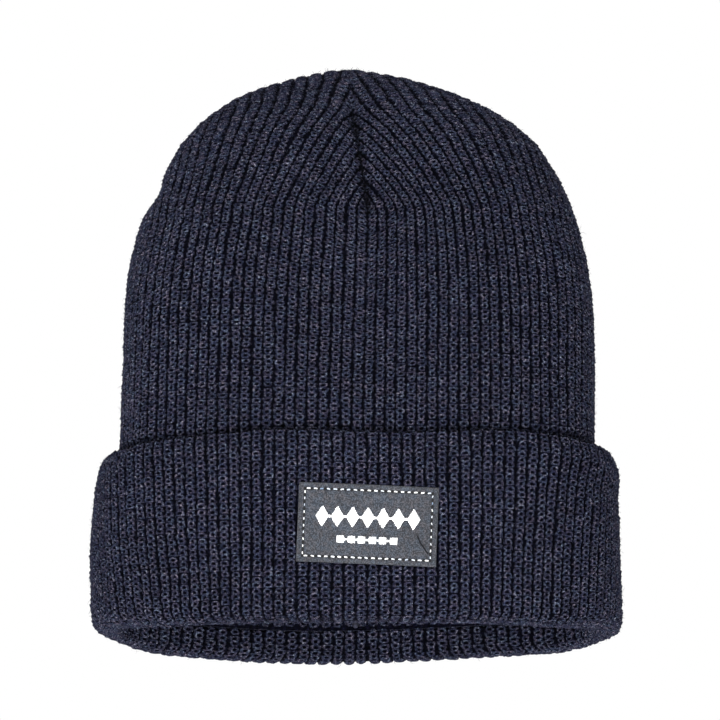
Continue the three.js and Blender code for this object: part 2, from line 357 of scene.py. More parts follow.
def clear_of_label(x, z):
    """1 away from the woven label and 0 under it."""
    turn = math.radians(LABEL["turn"])
    dx, dz = x - LABEL["x"], z - LABEL["z"]
    u = np.abs(dx * math.cos(turn) + dz * math.sin(turn)) - LABEL["width"] / 2
    v = np.abs(-dx * math.sin(turn) + dz * math.cos(turn)) - LABEL["height"] / 2
    return smooth(np.maximum(u, v) / 1.6 + 0.5)


# ---------------------------------------------------------------- the crown and its inner layer

DART_LEVEL = 166.0  # where the ribs begin to lean towards the darts
CHEVRON_TOP = 212.0  # above this level the ribs meet the seam less steeply
CHEVRON_SLOPE = 0.68
CHEVRON_SLOPE_TOP = 0.3
SPREAD = 105.0  # ribs spread out as the darts take others away: this length of dart would take them all
BOW = 18.0  # how much the courses dip towards a dart
BOW_START = 84.0
BOW_REACH = 62.0
SIDE_BOW = 0.6
SEAM_PATH = [(0, 0), (80, 3), (140, 4.2), (167, 5.2), (190, 2.2), (212, -1.6), (231.5, -2.0)]  # level, x
FINE_FROM = 50.0  # the inner layer below this level is hidden and coarse
COARSE_ROWS = 16
POLE_RING = 0.2  # points on a quarter of a section shorter than this are made one, at the pole
INNER_GATHER_LEVEL = 12.0  # the layer inside the turn-up is gathered as the fold is at this level
RIB_FULLNESS = 1.06  # width of a rib's relief as a share of the pitch of the ribs
FAR = 99.0  # distance from a seam where there is none


# The crown's slouch, by level: how far to the side its sections lie, and how much fuller it is than in CAD.
ASIDE = [(60, 0), (84, 0.8), (130, 1.2), (185, 1.9), (203, 1.2), (214, 0), (223, -2.6), (231.5, -5.5)]
FULLER = [(160, 0), (176, 0.7), (186, 1.4), (194, 2.3), (200, 3.2), (207, 3.0), (213, 2.5), (219, 1.8),
          (225, 0.7), (230, 0.1)]
RIM_CORNER = (3.6, 2.8)  # how far the rim rises at the right and at the left side of the wearer
RIM_LOWEST = -14.0  # where across the back it hangs lowest
RIM_BACK = 2.6  # how far it hangs at the middle of the back


def by_level(table, z):
    return np.interp(z, [row[0] for row in table], [row[1] for row in table])


def rim_shift(x, z, is_front):
    """How far up the hat's lower end is shifted: its corners are raised, and its back hangs a little."""
    shift = np.where(x < 0, *RIM_CORNER) * smooth((np.abs(x) - 76) / 28) ** 1.3
    shift = shift - np.where(is_front, 0, RIM_BACK * (1 - smooth(np.abs(x - RIM_LOWEST) / 84)))
    return shift * smooth((34 - z) / 30)


def seam_path(z):
    """How far to the side the front seam, and the middle ribs below it, lie at a level."""
    levels = np.linspace(0, HEIGHT, 240)
    path = by_level(SEAM_PATH, levels)
    for _ in range(30):
        path[1:-1] = (path[:-2] + path[1:-1] + path[2:]) / 3
    return np.interp(z, levels, path)


class CrownField:
    """Which rib and course passes each place of a quarter of the crown."""

    def __init__(self):
        dome = np.sin(np.linspace(0, math.pi / 2, 1400))
        wall = np.linspace(0, WIDTH_LEVEL, 400)[:-1]
        z = np.concatenate([wall, WIDTH_LEVEL + (HEIGHT - WIDTH_LEVEL) * dome])
        z[-1] = HEIGHT - 1e-6
        self.z = z
        width, depth, _ = section(z)
        self.length = quarter.length(width, depth)
        self.pitch = np.interp(DART_LEVEL, z, self.length) / QUARTER_RIBS
        slope = CHEVRON_SLOPE * smooth((z - DART_LEVEL) / 8)
        slope = slope + (CHEVRON_SLOPE_TOP - CHEVRON_SLOPE) * smooth((z - CHEVRON_TOP + 5) / 10)
        self.taken = self.total(slope, z)
        left = 1 - self.taken / SPREAD
        self.spread = np.where(z < DART_LEVEL, self.pitch * QUARTER_RIBS / self.length, left)
        self.front = self.total(np.hypot(1, np.gradient(depth, z)), z)
        self.side = self.total(np.hypot(1, np.gradient(width, z)), z)
        rise = clamp01((z - BOW_START) / (DART_LEVEL - BOW_START))
        self.bow = BOW * rise**1.3 * (1 - 0.35 * smooth((z - CHEVRON_TOP) / 20))

    @staticmethod
    def total(slope, z):
        step = 0.5 * (slope[1:] + slope[:-1]) * np.diff(z)
        return np.concatenate([[0], np.cumsum(step)])

    def at(self, table, index):
        low = np.minimum(index.astype(int), len(table) - 2)
        part = index - low
        return table[low] * (1 - part) + table[low + 1] * part

    def away(self, rib, index):
        """Distance of a rib line from the front seam at a level, kept between the two seams."""
        s = (rib * self.pitch - self.at(self.taken, index)) / self.at(self.spread, index)
        return np.clip(s, 0, self.at(self.length, index))

    def course(self, s, index):
        length = np.maximum(self.at(self.length, index), 1e-9)
        side = smooth(s / length)
        up = self.at(self.front, index) * (1 - side) + self.at(self.side, index) * side
        bow = self.at(self.bow, index)
        near_front = np.maximum(1 - s / BOW_REACH, 0) ** 2
        near_side = np.maximum(1 - (length - s) / BOW_REACH, 0) ** 2
        return up + bow * near_front + SIDE_BOW * bow * near_side

    def solve(self, ribs, courses):
        """Level and distance from the front seam where each rib line crosses each course line."""
        rib, course = np.meshgrid(ribs, courses, indexing="ij")
        low, high = np.zeros_like(rib), np.full_like(rib, len(self.z) - 1.0)
        for _ in range(26):
            middle = (low + high) / 2
            below = self.course(self.away(rib, middle), middle) < course
            low, high = np.where(below, middle, low), np.where(below, high, middle)
        index = (low + high) / 2
        return self.at(self.z, index), self.away(rib, index), self.at(self.length, index)


def gather(share, z):
    """The turn-up's fold draws the ribs to the front, most at the sides: share of the half round in, out."""
    pulled = 0.0225 * np.sin(math.pi * share) + 0.04 * (1 - clamp01(z / 74)) * np.sin(math.pi * share) ** 3
    return share - pulled


def soft_shape(x, y, z):
    """Slow uneven swellings of hand-smoothed cloth, in mm along the surface's normal."""
    swell = 0.55 * np.sin(x / 23 + 1.3) * np.sin(z / 31 + 0.4) + 0.35 * np.sin(x / 11 + z / 17 + y / 13)
    return swell * smooth((z - 85) / 25)


def lip_tuck(x, z):
    """The crown is drawn in where the turn-up's free edge presses on it: how far, and how much painted shade
    darkens it there.
    """
    away = z - (LIP_TOP + turn_up_wave(x, 76.0) + 0.8)
    press = np.exp(-((away / 1.2) ** 2))
    return -1.1 * press, 0.6 * press


def crown_creases(x, y, z, front):
    """The front dart's crease with its pucker, and the dent where the left dart ends."""
    path = seam_path(z)
    crease = -1.3 * np.exp(-(((x - path) / 3.2) ** 2)) * smooth((z - 172) / 14) * smooth((228 - z) / 10)
    pucker = -1.6 * np.exp(-(((x - path + 1) / 2.4) ** 2) - ((z - 210.5) / 2.6) ** 2)
    soft = -1.2 * np.exp(-(((x - path) / 14) ** 2) - ((z - 196) / 20) ** 2)
    dent = -2.4 * np.exp(-(((z - 180) / 6) ** 2) - ((y - 2) / 12) ** 2) * (x < -60)
    crown = by_level(FULLER, z) + np.exp(-(((x + 4) / 9) ** 2) - ((y - 8) / 14) ** 2) * smooth((z - 210) / 12)
    return np.where(front > 0, crease + pucker + soft, 0.5 * crease) + dent + crown


def crown_courses(field):
    """Where the mesh's rows lie, in mm up the middle of the front: coarse where hidden, and an odd number."""
    fine = COURSE / PER_COURSE
    first_fine = round(FINE_FROM / COURSE) * COURSE
    coarse = np.linspace(INNER_LAYER_END, first_fine, COARSE_ROWS + 1)[:-1]
    top = max(field.front[-1], field.side[-1]) + field.bow[-1] * (1 + SIDE_BOW)
    courses = np.concatenate([coarse, np.arange(first_fine, top + 2 * fine, fine)])
    return courses if len(courses) % 2 else np.append(courses, courses[-1] + fine)


def crown_quarters(base, knit, field):
    """Adds the crown's points in four quarters. Gives each one's numbers, way round, ribs and courses."""
    ribs = np.arange(QUARTER_RIBS * PER_RIB + 1) / PER_RIB
    courses = crown_courses(field)
    z, s, length = field.solve(ribs, courses)
    width, depth, middle = section(z)
    share = np.where(length > 1e-6, s / np.maximum(length, 1e-9), 0.0)
    rib_lines = np.broadcast_to(ribs[:, None], z.shape)
    v = np.broadcast_to(courses[None, :] / COURSE, z.shape)
    pole = length < POLE_RING
    nearest_front = s < length / 2
    seam = np.where(z > DART_LEVEL, np.minimum(s, np.maximum(length - s, 0)), FAR)
    edge = smooth(seam / (1.1 + 0.5 * np.sin(z / 1.7) * np.sin(z / 4.3)))
    sunk = np.where(nearest_front, 0.7 - 0.3 * smooth((z - 212) / 6), 0.35)
    # Painted shade along the front seam's crease: this mask only darkens the colour, through the depth
    # attribute.
    crease = (1 - smooth(seam / 3.6)) * (1 - smooth((z - 211) / 5)) * nearest_front
    crease = crease * (0.75 + 0.25 * np.sin(z / 1.6 + 2 * np.sin(z / 5)))
    quarters = []
    for side, front in [(1, 1), (1, -1), (-1, -1), (-1, 1)]:
        half = np.where(front > 0, share / 2, 1 - share / 2)
        half = half + (gather(half, INNER_GATHER_LEVEL) - half) * smooth((72 - z) / 60)
        is_front = half < 0.5
        local = np.where(is_front, 2 * half, 2 - 2 * half)
        x, y = quarter.place(width, depth, local)
        lean = by_level(ASIDE, z)
        x = side * x + (seam_path(z) - lean) * (1 - local) ** 2 * is_front + lean
        y = middle - np.where(is_front, 1, -1) * y
        level = z + rim_shift(x, z, is_front)
        x, y = np.where(pole, by_level(ASIDE, HEIGHT), x), np.where(pole, CROWN_LEAN, y)
        level = np.where(pole, HEIGHT, level)
        from_front = rib_lines if front > 0 else 2 * QUARTER_RIBS - rib_lines
        u = from_front if side > 0 else RIBS - from_front
        height, tone = knit.relief(u, v, field.pitch * RIB_FULLNESS)
        height = height * edge - VALLEY * sunk * (1 - edge)
        tuck, shade = lip_tuck(x, z)
        form = soft_shape(x, y, z) + crown_creases(x, y, z, front) + tuck
        # Painted shade: the depth attribute darkens the yarn by its depth below the rib tops, just above the
        # turn-up's lip and along the seam's crease.
        dark = shade - height + 1.6 * crease * (front > 0)
        ids = base.add_points(np.stack([x, y, level], -1), form=form, height=height, depth=dark, tone=tone)
        quarters.append((ids, side * front, u, v))
    return quarters


def lower_edge(rim, inner_rim, turn):
    """Triangles that join each edge of the inner face's foot to the two of the outer face under it."""
    a, b = inner_rim[:-1], inner_rim[1:]
    left, middle, right = rim[:-1:2], rim[1::2], rim[2::2]
    fans = np.stack([np.stack(t, 1) for t in ((a, b, middle), (a, middle, left), (b, right, middle))], 1)
    fans = fans.reshape(-1, 3)
    return fans[:, ::-1] if turn < 0 else fans


def build_body():
    """The crown and the layer inside the turn-up, as one closed shell of rib knit."""
    field, knit, base = CrownField(), Knit(11, 140), Patchwork()
    rib_width = field.pitch * RIB_FULLNESS
    quarters = crown_quarters(base, knit, field)
    # The flat layout has a strip for each quarter, with the inner face above the outer one.
    for strip, (ids, turn, u, v) in enumerate(quarters):
        flat = flat_grid(ids.shape, 0.25 * strip + 0.005, 0.25 * strip + 0.245, 0.005, 0.745)
        base.add_grid(ids, flat, flip=turn < 0, stitch=knit.corners(u, v, rib_width))
    points, values, faces = base.merged()
    normals = point_normals(points, faces[0], faces[2])
    normals[points[:, 2] > HEIGHT - 0.25] = (0, 0, 1)
    points = points + normals * values["form"][:, None]
    outer = points + normals * values["height"][:, None]
    # The inner face has every second column and row of the same lines, one cloth thickness further in.
    inner_depth = VALLEY - np.minimum(-values["height"], VALLEY)
    inner = points - normals * (CLOTH - 0.4 * inner_depth)[:, None]
    parts = [faces]
    for strip, (ids, turn, u, v) in enumerate(quarters):
        sub = base.back[ids[::2, ::2]] + len(points)
        flat = flat_grid(sub.shape, 0.25 * strip + 0.005, 0.25 * strip + 0.245, 0.77, 0.99)
        part = Patchwork()
        part.add_grid(sub, flat, flip=turn > 0, stitch=knit.corners(u[::2, ::2], v[::2, ::2], rib_width))
        quads, quad_flats, tris, tri_flats = sound_faces(*part.patches[0])
        fans = lower_edge(base.back[ids[:, 0]], sub[:, 0], turn)
        fan_flats = np.full((len(fans), 3, 4), 0.7605 + 0.0005 * strip)
        tris, tri_flats = np.concatenate([tris, fans]), np.concatenate([tri_flats, fan_flats])
        parts.append((quads, quad_flats, tris, tri_flats))
    quads, quad_flats, tris, tri_flats = chained(parts)
    used, number = np.unique(np.concatenate([quads.ravel(), tris.ravel()]), return_inverse=True)
    number = number.ravel()
    faces = number[:quads.size].reshape(-1, 4), quad_flats, number[quads.size:].reshape(-1, 3), tri_flats
    # The depth attribute is painted shade; on the inner face, inner_depth darkens the grooves that lie behind
    # the rib tops.
    attributes = {
        "depth": np.concatenate([values["depth"], inner_depth])[used],
        "tone": np.tile(values["tone"], 2)[used],
    }
    return make_object("knit_body_cloth", np.concatenate([outer, inner])[used], attributes, faces)


# ---------------------------------------------------------------- the turn-up

def arc(middle, radius, start, end, count=12):
    turn = np.radians(np.linspace(start, end, count))
    return [(middle[0] + radius * math.cos(a), middle[1] - radius * math.sin(a)) for a in turn]


SOFTENING_STEP = 0.2


def softened(path, spacing, soften):
    """A path resampled evenly, with its corners rounded off."""
    path = np.array(path, float)
    length = travelled(path)
    steps = int(round(length[-1] / SOFTENING_STEP))
    dense = path_at(np.linspace(0, length[-1], steps + 1), length, path)
    reach = int(round(3 * soften / SOFTENING_STEP))
    kernel = np.exp(-0.5 * (np.arange(-reach, reach + 1) * SOFTENING_STEP / soften) ** 2)
    kernel /= kernel.sum()
    padded = np.concatenate([
        2 * dense[0] - dense[reach:0:-1], dense, 2 * dense[-1] - dense[-2:-reach - 2:-1]])
    smoothed = np.stack([np.convolve(padded[:, k], kernel, "valid") for k in (0, 1)], 1)
    length = travelled(smoothed)
    at = np.linspace(0, length[-1], int(round(length[-1] / spacing)) + 1)
    return path_at(at, length, smoothed), at


def turn_up_wave(x, z):
    """The free edge isn't level: it rises and dips a little round the hat."""
    ends = np.where(x < 0, -2.2, -0.6) * smooth((np.abs(x) - 78) / 20)
    wave = 1.0 * np.sin(x / 15.5 + 3.6) + 0.7 * np.sin(x / 37 + 0.9) + ends
    return wave * smooth((z - 42) / 34)


TURN_UP_RIB = 4.8  # width of a rib of the turn-up


def turn_up_out(z):
    return by_level([(level, out) for out, level in TURN_UP_FACE], z)


def turn_up_front(x, z):
    width, depth, middle = section(z)
    out = turn_up_out(z)
    return middle - edge_depth(width + out, depth + out, x)


def turn_up_swell(x, y, z):
    """Slow uneven swellings of the turn-up's face, none under the label."""
    swell = 0.5 * np.sin(x / 19 + 0.5) * np.sin(z / 16) + 0.4 * np.sin(x / 31 - z / 21 + y / 17)
    return swell * clear_of_label(x, z) * smooth((76 - z) / 12) * smooth((z - 2) / 10)


def build_turn_up():
    """The turned-up outer layer and the fold, as one closed ring of rib knit."""
    face = TURN_UP_FACE[0][0]
    hollow = FOLD_CORNER - CLOTH
    lip = [(LIP_INSIDE, LIP_TOP - LIP_REACH), (LIP_INSIDE, LIP_TOP - 0.8), (LIP_OUTSIDE, LIP_TOP)]
    shown = lip + TURN_UP_FACE[::-1]
    shown += arc((face - FOLD_CORNER, FOLD_CORNER), FOLD_CORNER, 0, 90)
    shown += arc((FOLD_CORNER - CLOTH, FOLD_CORNER), FOLD_CORNER, 90, 180)
    shown += [(-CLOTH, FOLD_TOP)]
    hidden = [(-CLOTH, FOLD_TOP), (0, FOLD_TOP)]
    hidden += arc((FOLD_CORNER - CLOTH, FOLD_CORNER), hollow, 180, 90)
    hidden += arc((face - FOLD_CORNER, FOLD_CORNER), hollow, 90, 0)
    hidden += [(out - CLOTH, z - INNER_FACE_DROP) for out, z in TURN_UP_FACE[:-2]]
    hidden += [(LIP_INSIDE, LIP_TOP - LIP_REACH)]
    front_path, along = softened(shown, COURSE / PER_COURSE, 0.9)
    back_path, _ = softened(hidden, 3.2, 0.3)
    path = np.concatenate([front_path, back_path[1:-1]])
    fine_rows = len(front_path)
    u, row = np.meshgrid(np.arange(RIBS * PER_RIB) / PER_RIB, np.arange(len(path)), indexing="ij")
    seen = row < fine_rows
    from_lip = along[np.minimum(row, fine_rows - 1)]
    out, level = path[row, 0], path[row, 1]
    around = u / RIBS
    side = np.where(around <= 0.5, 1.0, -1.0)
    half = np.where(around <= 0.5, 2 * around, 2 - 2 * around)
    half = gather(half, level)
    is_front = half < 0.5
    local = np.where(is_front, 2 * half, 2 - 2 * half)
    width, depth, middle = section(level)
    full_out, full_level = TURN_UP_FACE[3]
    full = quarter.length(*(half_size + full_out for half_size in section(full_level)[:2]))
    wider = np.where(level > full_level, full / quarter.length(width + out, depth + out), 1.0)
    local = local * (1 + (wider - 1) * (1 - local**3))
    x, y = quarter.place(width + out, depth + out, local)
    x = side * x
    x = x + 2.0 * smooth((level - 56) / 16) * smooth((x - 60) / 40)
    x = x + 1.3 * smooth((38 - level) / 24) * smooth((-x - 30) / 60)
    y = middle - np.where(is_front, 1, -1) * y
    z = level + turn_up_wave(x, level) * np.where(is_front, 1, 0.6) + rim_shift(x, level, is_front)
    knit = Knit(23, 60)
    v = np.where(seen, row / PER_COURSE, fine_rows / PER_COURSE + (row - fine_rows))
    height, tone = knit.relief(u, v, TURN_UP_RIB)
    height = height * seen * smooth((from_lip - 1.5) / 3)
    free = 1 - (1 - clear_of_label(x, level)) * is_front
    swell = turn_up_swell(x, y, level) * seen
    height = height * (0.35 + 0.65 * free) - 0.75 * (1 - free) * seen + swell
    # Painted shadow on the rounded top of the free edge, with painted shade by depth below the rib tops, in
    # the depth attribute.
    lip_shade = 2.2 * smooth((LIP_REACH + 2.2 - from_lip) / 1.1) * seen
    sheet = Patchwork()
    place = np.stack([x, y, z], -1)
    ids = sheet.add_points(place, height=height, depth=lip_shade - (height - swell), tone=tone)
    ids = np.pad(ids, ((0, 1), (0, 1)), "wrap")
    across = np.linspace(0.005, 0.995, ids.shape[0])
    hidden_up = 0.86 + np.arange(ids.shape[1] - fine_rows) * 0.004
    up = np.concatenate([np.arange(fine_rows) / fine_rows * 0.85, hidden_up]) * 0.99 + 0.005
    flat = np.stack(np.meshgrid(across, up, indexing="ij"), -1)
    rib, course = np.meshgrid(np.arange(ids.shape[0]) / PER_RIB, np.append(v[0], v[0, -1] + 1), indexing="ij")
    sheet.add_grid(ids, flat, flip=True, stitch=knit.corners(rib, course, TURN_UP_RIB))
    points, values, faces = sheet.merged()
    points = points + point_normals(points, faces[0], faces[2]) * values.pop("height")[:, None]
    return make_object("turn_up_cloth", points, values, faces)


# ---------------------------------------------------------------- fuzz

FUZZ_TAPER = (0, 1, 1, 0.9, 0.7, 0)  # thickness at each point along a hair
FUZZ_RADIUS = 0.045
FUZZ_LENGTH = (0.7, 2.0)


def build_fuzz(name, piece, count, levels, seed):
    """Loose fibre ends that stand off a piece's outer face: fine curved hairs, closed at both ends."""
    def read(data, key, size):
        values = np.empty((len(data), size), np.float32)
        data.foreach_get(key, values.ravel())
        return values

    draw = np.random.default_rng(seed)
    mesh = piece.data
    points = read(mesh.vertices, "co", 3) / MM
    normals = read(mesh.vertex_normals, "vector", 3)
    depth = read(mesh.attributes["depth"].data, "value", 1)[:, 0]
    width, half, middle = section(points[:, 2], 1.8)
    outside = np.abs(points[:, 0] / width) ** OVAL + np.abs((points[:, 1] - middle) / half) ** OVAL > 1
    clear = clear_of_label(points[:, 0], points[:, 2]) > 0.99
    usable = outside & (depth < 0.9) & (points[:, 2] > levels[0]) & (points[:, 2] < levels[1])
    usable &= clear | (points[:, 1] > 0)
    chosen = draw.choice(np.flatnonzero(usable), count, replace=False)
    root, up = points[chosen], normals[chosen]
    aside = np.cross(up, draw.normal(0, 1, (count, 3)))
    aside /= np.linalg.norm(aside, axis=1, keepdims=True)
    length = draw.uniform(*FUZZ_LENGTH, count)[:, None]
    stand = draw.uniform(0.1, 0.5, count)[:, None]
    curl = np.cross(up, aside) * draw.normal(0, 0.5, count)[:, None]
    share = np.linspace(0, 1, len(FUZZ_TAPER))[None, :, None]
    path = root[:, None] - 0.1 * up[:, None]
    rise = stand[:, None] * np.sin(share * 2.2) * up[:, None]
    path = path + length[:, None] * (share * aside[:, None] + rise + curl[:, None] * share**2)
    turn = np.arange(3) / 3 * 2 * math.pi
    second = np.cross(aside, up)
    ring = np.cos(turn)[None, :, None] * up[:, None] + np.sin(turn)[None, :, None] * second[:, None]
    taper = FUZZ_RADIUS * np.array(FUZZ_TAPER)[None, :, None, None]
    sheet = Patchwork()
    ids = sheet.add_points(path[:, :, None] + taper * ring[:, None], depth=0.0, tone=0.5)
    ids = np.pad(ids, ((0, 0), (0, 0), (0, 1)), "wrap")
    faces = np.concatenate([np.stack([c.ravel() for c in cell_corners(hair)], 1) for hair in ids])
    cell = np.arange(len(faces))
    side = int(math.ceil(math.sqrt(len(faces))))
    corner = np.array([(0, 0), (0.8, 0), (0.8, 0.8), (0, 0.8)])
    flats = (np.stack([cell % side, cell // side], -1)[:, None] + corner[None]) / side
    stitch = np.broadcast_to(np.array([Knit.RING[0], 0.0]), flats.shape)
    sheet.patches.append((faces[:, ::-1], np.concatenate([flats, stitch], -1)[:, ::-1]))
    return sheet.build(name, 0.0005)


# ---------------------------------------------------------------- strands: threads and seam rolls

class Strands:
    """Tubes with rounded ends, gathered into one piece. Each has its own strip of the flat layout."""

    def __init__(self, count, sides=8):
        self.sheet = Patchwork()
        self.count, self.sides, self.made = count, sides, 0

    def add(self, path, radius, up, spacing=0.3, relief=None, closed=False, tone=0.5):
        """path is (n, 3), and up, one vector or one for each point, is where each ring of points begins."""
        path = np.asarray(path, float)
        up = np.broadcast_to(np.asarray(up, float), path.shape)
        along = travelled(path)
        length = along[-1]
        if closed:
            at = np.linspace(0, length, int(round(length / spacing)) + 1)
            size = np.ones_like(at)
        else:
            cap = radius * (1 - np.cos(np.radians([0, 30, 60])))
            count = max(int(round((length - 2 * radius) / spacing)), 1) + 1
            at = np.concatenate([cap, np.linspace(radius, length - radius, count), length - cap[::-1]])
            end = np.minimum(at, length - at)
            size = np.sqrt(np.maximum(1 - np.maximum(1 - end / radius, 0) ** 2, 0))
        middle, reach = path_at(at, along, path), path_at(at, along, up)
        ahead = np.gradient(middle, at, axis=0)
        if closed:
            ahead[0] = ahead[-1] = middle[1] - middle[-2]
        side = np.cross(ahead, reach)
        side /= np.linalg.norm(side, axis=1, keepdims=True)
        out = np.cross(side, ahead)
        out /= np.linalg.norm(out, axis=1, keepdims=True)
        turn = np.arange(self.sides) / self.sides * 2 * math.pi
        ridge = np.zeros((len(at), self.sides))
        if relief is not None:
            ridge = relief(at[:, None], turn[None, :])
        if closed:
            ridge[-1] = ridge[0]
        ring = (radius * size[:, None] * (1 + ridge))[..., None]
        outwards = np.cos(turn)[None, :, None] * out[:, None] + np.sin(turn)[None, :, None] * side[:, None]
        # Painted shade: the depth attribute darkens the strand in the furrows between its ridges.
        low = -ridge / max(np.abs(ridge).max(), 1e-9)
        ids = self.sheet.add_points(middle[:, None] + ring * outwards, depth=low, tone=tone)
        ids = np.pad(ids, ((0, 0), (0, 1)), "wrap")
        across = (np.arange(self.sides + 1) / self.sides * 0.8 + self.made + 0.1) / self.count
        flat = np.stack(np.broadcast_arrays(across[None, :], (at / length * 0.99 + 0.005)[:, None]), -1)
        self.sheet.add_grid(ids, flat, flip=True)
        self.made += 1

    def build(self, name):
        return self.sheet.build(name)


def plies(count, lay, deep):
    """Relief of a twisted yarn: count plies, each going once round in lay mm."""
    def relief(at, turn):
        return -deep * (1 - np.abs(np.cos(count / 2 * (turn - at / lay * 2 * math.pi))))
    return relief


# ---------------------------------------------------------------- the label and what is sewn on it

LABEL_BACK = -0.25  # the label lies this far in front of the turn-up's face, pressed a little into the knit
LABEL_THICK = 0.75
LABEL_FRONT = LABEL_BACK + LABEL_THICK
LABEL_GRID = (160, 92)
LABEL_EDGE = 0.5  # radius of its folded edges
STITCH_INSET = 2.4
SEWN = (LABEL["width"] / 2 - STITCH_INSET, LABEL["height"] / 2 - STITCH_INSET)  # half of the sewn rectangle
STITCHES = (19, 10)  # on a long and on a short side
STITCH_RADIUS = (0.29, 0.21)  # the thread shows less on the short sides, where it is pulled in
STITCH_SHARE = (0.46, 0.3)  # of the pitch that shows as white thread
HOLE_SIZE = 0.58
HOLE_DEPTH = 0.42


def on_label(u, v, out):
    """Where a point of the label is: u across and v up from its middle, out mm in front of the turn-up."""
    turn = math.radians(LABEL["turn"])
    x = LABEL["x"] + u * math.cos(turn) - v * math.sin(turn)
    z = LABEL["z"] + u * math.sin(turn) + v * math.cos(turn)
    return np.stack(np.broadcast_arrays(x, turn_up_front(x, z) - out, z), -1)


def stitch_lines():
    """The sewn rectangle's four sides: start, end, count of stitches, thread radius and share that shows."""
    corners = np.array([(-1, -1), (1, -1), (1, 1), (-1, 1)]) * SEWN
    for side in range(4):
        which = side % 2
        start, end = corners[side], corners[(side + 1) % 4]
        yield start, end, STITCHES[which], STITCH_RADIUS[which], STITCH_SHARE[which]


def label_dip(u, v):
    """How far the needle's holes and the tight thread press the label in."""
    dip = np.zeros_like(u)
    holes = [a + (b - a) * k / count for a, b, count, _, _ in stitch_lines() for k in range(count)]
    for hole in holes:
        dip = np.maximum(dip, HOLE_DEPTH * np.exp(-((u - hole[0]) ** 2 + (v - hole[1]) ** 2) / HOLE_SIZE**2))
    away = np.maximum(np.abs(u) - SEWN[0], np.abs(v) - SEWN[1])
    return np.maximum(dip, 0.2 * np.exp(-((away / 0.7) ** 2)))


def build_label():
    """The folded and pressed label, as one closed leaf with rounded edges."""
    half_width, half_height = LABEL["width"] / 2, LABEL["height"] / 2
    columns = np.linspace(-half_width, half_width, LABEL_GRID[0] + 1)
    rows = np.linspace(-half_height, half_height, LABEL_GRID[1] + 1)
    u, v = np.meshgrid(columns, rows, indexing="ij")
    inside = np.minimum(half_width - np.abs(u), half_height - np.abs(v))
    swell = np.sqrt(np.maximum(1 - (1 - clamp01(inside / LABEL_EDGE)) ** 2, 0))
    middle = (LABEL_BACK + LABEL_FRONT) / 2
    dip = label_dip(u, v)
    wave = 0.12 * np.sin(u / 4.1 + 0.6) * np.sin(v / 5.3 + 1.1) + 0.05 * np.sin(u / 1.7 + v / 2.3)
    ragged = 0.05 * np.sin(v * 9.1) * (half_width - np.abs(u) < 0.4)
    ragged = ragged + 0.05 * np.sin(u * 8.3) * (half_height - np.abs(v) < 0.4)
    wide = 1 + ragged / half_width
    front = middle + LABEL_THICK / 2 * swell + (wave - dip) * swell
    back = middle - LABEL_THICK / 2 * swell
    leaf = Patchwork()
    for out, place, turned in ((front, 0.0, False), (back, 0.5, True)):
        points = on_label(u * wide, v * wide, out)
        ids = leaf.add_points(points, depth=0.0 if turned else dip / HOLE_DEPTH, tone=0.5)
        across = 0.005 + 0.99 * (u + half_width) / (2 * half_width)
        up = place + 0.005 + 0.49 * (v + half_height) / (2 * half_height)
        leaf.add_grid(ids, np.stack([across, up], -1), flip=turned)
    return leaf.build("label_cloth")


def build_stitches(name, out, seed, dive):
    """The stitches of one of the two threads: short arcs whose ends dive into the cloth."""
    draw = np.random.default_rng(seed)
    strands = Strands(2 * sum(STITCHES), sides=8)
    share = np.linspace(-1, 1, 9)
    for start, end, count, radius, shown in stitch_lines():
        step = (end - start) / count
        across = np.array([-step[1], step[0]]) / np.linalg.norm(step)
        for k in range(count):
            middle = start + (k + 0.5 + draw.normal(0, 0.03)) * step
            half = step / 2 * shown * (1 + draw.normal(0, 0.09))
            slant = across * draw.normal(0.0, 0.1)
            place = middle + share[:, None] * (half + slant)
            rise = out + dive * (0.16 - 0.5 * share**2) + draw.normal(0, 0.03)
            path = on_label(place[:, 0], place[:, 1], rise)
            size = radius * (1 + draw.normal(0, 0.08))
            strands.add(path, size, (0, -1, 0), 0.25, plies(2, 1.6, 0.16),
                        tone=clamp01(draw.normal(0.6, 0.28)))
    return strands.build(name)


# The motif: the same chains of shapes as in the CAD model, filled with satin stitch.
SATIN_PITCH = 0.4
SATIN_RADIUS = 0.27
DIAMONDS = {"count": 7, "pitch": 6.0, "half": 2.5, "tall": 4.2, "link": 0.35, "lift": 2.6, "pointed": True}
BLOCKS = {"count": 6, "pitch": 4.2, "half": 1.4, "tall": 1.3, "link": 0.3, "lift": -6.4, "pointed": False}


def build_motif(name, kind, seed):
    draw = np.random.default_rng(seed)
    width = (kind["count"] - 1) * kind["pitch"] + 2 * kind["half"]
    count = int(round(width / SATIN_PITCH))
    strands = Strands(count, sides=6)
    share = np.linspace(-1, 1, 9)
    for k in range(count):
        u = -width / 2 + (k + 0.5) * width / count
        nearest = np.round(u / kind["pitch"] + (kind["count"] - 1) / 2) - (kind["count"] - 1) / 2
        off = abs(u - nearest * kind["pitch"])
        tall = kind["tall"] * ((1 - off / kind["half"]) if kind["pointed"] else (off < kind["half"]))
        tall = max(tall, kind["link"]) + draw.normal(0, 0.07)
        lean = draw.normal(0, 0.05)
        rise = LABEL_FRONT + 0.1 + 0.3 * (1 - share**4) * min(tall / 1.5, 1) + draw.normal(0, 0.02)
        path = on_label(u + lean * share, kind["lift"] + share * (tall + 0.1), rise)
        strands.add(path, SATIN_RADIUS, (0, -1, 0), 0.5, tone=clamp01(draw.normal(0.8, 0.1)))
    return strands.build(name)


LOOSE_FIBRE = [(19.7, -3.7), (20.8, -6.2), (22.3, -8.3), (24.3, -11.0)]  # on the label, across and up


